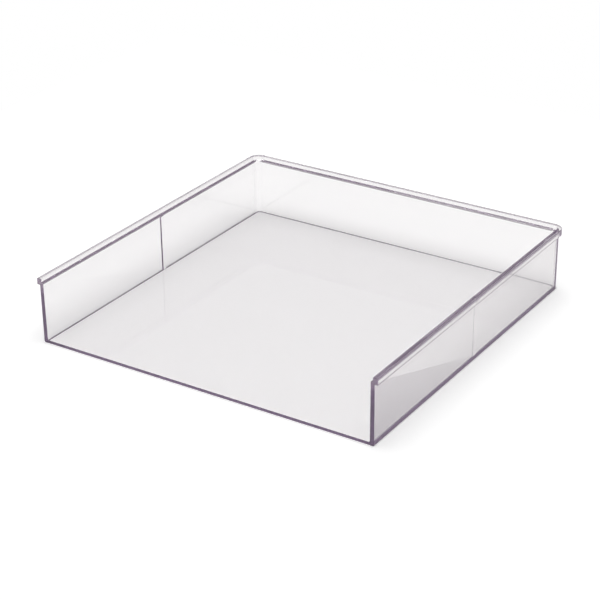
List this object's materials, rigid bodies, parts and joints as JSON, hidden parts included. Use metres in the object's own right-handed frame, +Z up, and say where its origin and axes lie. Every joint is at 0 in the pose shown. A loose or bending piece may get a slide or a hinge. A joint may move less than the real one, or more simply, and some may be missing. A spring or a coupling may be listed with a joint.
{
  "type": "scrapbook paper drawer tray",
  "caption": "Clear plastic drawer tray for square craft paper: flat floor, three straight walls with a lipped rim, and an open front.",
  "frame": {"origin": "centre of the overall box in plan, at the underside the tray rests on", "axes": "+Z up, +Y from the open front towards the back wall, +X to the right seen from the front"},
  "size_m": [0.3218, 0.3186, 0.058],
  "materials": {
    "clear_plastic": "clear, glossy, very faint violet-grey tint that shows along the edges"
  },
  "bodies": {
    "root": {"drawer_tray": "clear_plastic"}
  },
  "joints": []
}
